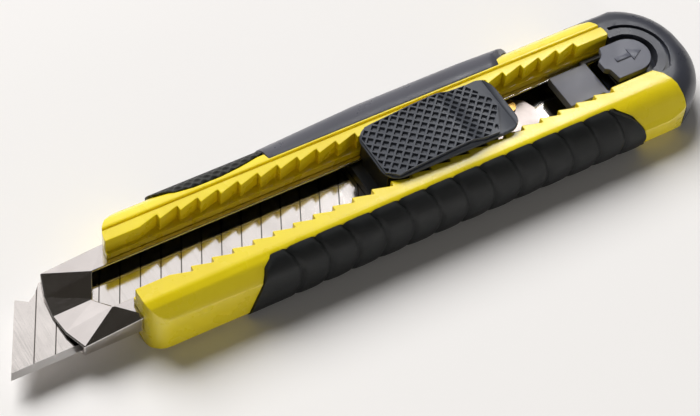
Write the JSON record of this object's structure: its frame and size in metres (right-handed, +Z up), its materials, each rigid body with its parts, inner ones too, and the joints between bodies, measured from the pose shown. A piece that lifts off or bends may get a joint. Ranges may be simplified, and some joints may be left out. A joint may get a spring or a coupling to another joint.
{
  "type": "snap-off utility knife",
  "caption": "Snap-off utility knife: scored blade in a steel channel, moulded casing with ratchet rails, thumb slider, side grips and pull-off end cap.",
  "frame": {"origin": "centre of the flat back face the knife lies on", "axes": "+X towards the end cap (the blade comes out along -X), +Y towards the blade's unsharpened spine, +Z up out of the slider face"},
  "size_m": [0.1624, 0.0334, 0.0162],
  "materials": {
    "yellow_abs": "satin moulded ABS",
    "black_rubber": "matt soft-touch rubber",
    "grey_plastic": "fine-textured moulded plastic",
    "cap_plastic": "satin moulded plastic",
    "dark_plastic": "knurled moulded plastic",
    "black_plastic": "moulded acetal",
    "bright_steel": "bright plated pressed steel",
    "blade_steel": "ground carbon steel",
    "steel": "plain steel",
    "brass": "turned brass"
  },
  "bodies": {
    "handle": {"casing": "yellow_abs", "near_grip": "black_rubber", "far_grip": "grey_plastic", "knurled_pad": "black_rubber", "blade_channel": "bright_steel", "channel_rivets": "steel", "spare_blades": "blade_steel", "magazine_spring": "steel"},
    "slider": {"blade_carrier": "black_plastic", "blade": "blade_steel", "blade_peg": "steel", "lock_spring": "bright_steel", "glide_rivet": "brass", "pad_return_spring": "steel"},
    "pad": {"thumb_pad": "dark_plastic"},
    "pawl_near": {"near_pawl": "steel"},
    "pawl_far": {"far_pawl": "steel"},
    "cap": {"end_cap": "cap_plastic", "cap_plug": "grey_plastic"},
    "latch": {"cap_latch": "cap_plastic"}
  },
  "joints": [
    {"name": "blade_slide", "type": "slide", "parent": "handle", "child": "slider", "axis": [-1, 0, 0], "range_m": [-0.018, 0.054]},
    {"name": "pad_shift", "type": "slide", "parent": "slider", "child": "pad", "axis": [1, 0, 0], "range_m": [0, 0.0015], "deforming": ["pad_return_spring"]},
    {"name": "near_pawl_out", "type": "slide", "parent": "slider", "child": "pawl_near", "axis": [0, -1, 0], "range_m": [0, 0.0009]},
    {"name": "far_pawl_out", "type": "slide", "parent": "slider", "child": "pawl_far", "axis": [0, 1, 0], "range_m": [0, 0.0009]},
    {"name": "cap_pull", "type": "slide", "parent": "handle", "child": "cap", "axis": [1, 0, 0], "range_m": [0, 0.03]},
    {"name": "latch_flex", "type": "hinge", "parent": "cap", "child": "latch", "pos_m": [0.0532, 0, 0.0116], "axis": [0, 1, 0], "range_deg": [0, 6], "stiffness_Nm_per_rad": 0.5}
  ],
  "couplings": [
    {"joint": "near_pawl_out", "follows": "pad_shift", "ratio": 0.6},
    {"joint": "far_pawl_out", "follows": "pad_shift", "ratio": 0.6}
  ]
}
